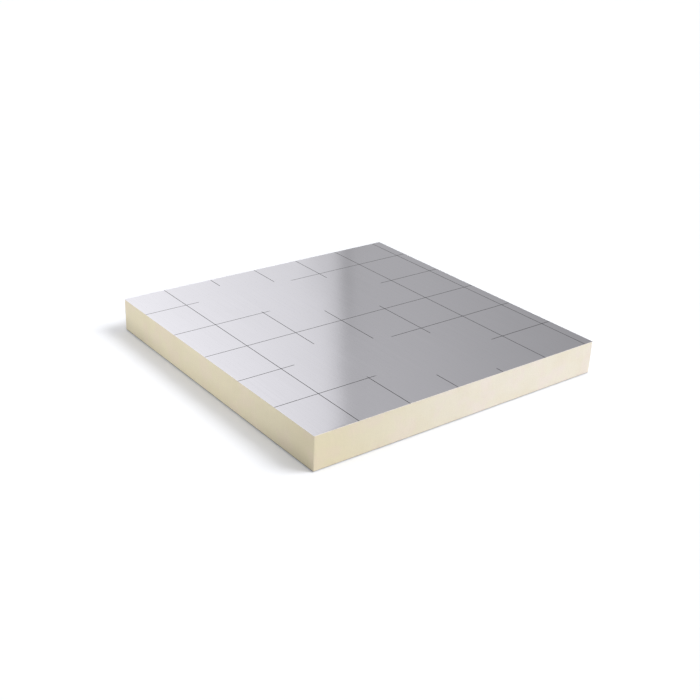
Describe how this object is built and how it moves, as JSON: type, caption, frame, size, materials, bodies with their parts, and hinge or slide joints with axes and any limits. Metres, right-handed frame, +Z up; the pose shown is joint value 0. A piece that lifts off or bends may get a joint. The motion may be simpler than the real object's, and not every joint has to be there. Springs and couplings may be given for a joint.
{
  "type": "polyiso insulation board",
  "caption": "Square rigid polyisocyanurate foam insulation board for flat roofs, with a printed foil facer on top, a plain foil facer below and square-cut edges.",
  "frame": {"origin": "centre of the underside, on the floor that the board lies on", "axes": "+Z up through the board's thickness, +X and +Y along its two sides"},
  "size_m": [0.6, 0.6, 0.06],
  "materials": {
    "foam": "matt closed-cell foam, saw-cut edges",
    "printed_foil": "satin lacquered foil with a dark printed grid",
    "plain_foil": "satin plain foil"
  },
  "bodies": {
    "root": {"foam_core": "foam", "top_facer": "printed_foil", "bottom_facer": "plain_foil"}
  },
  "joints": []
}
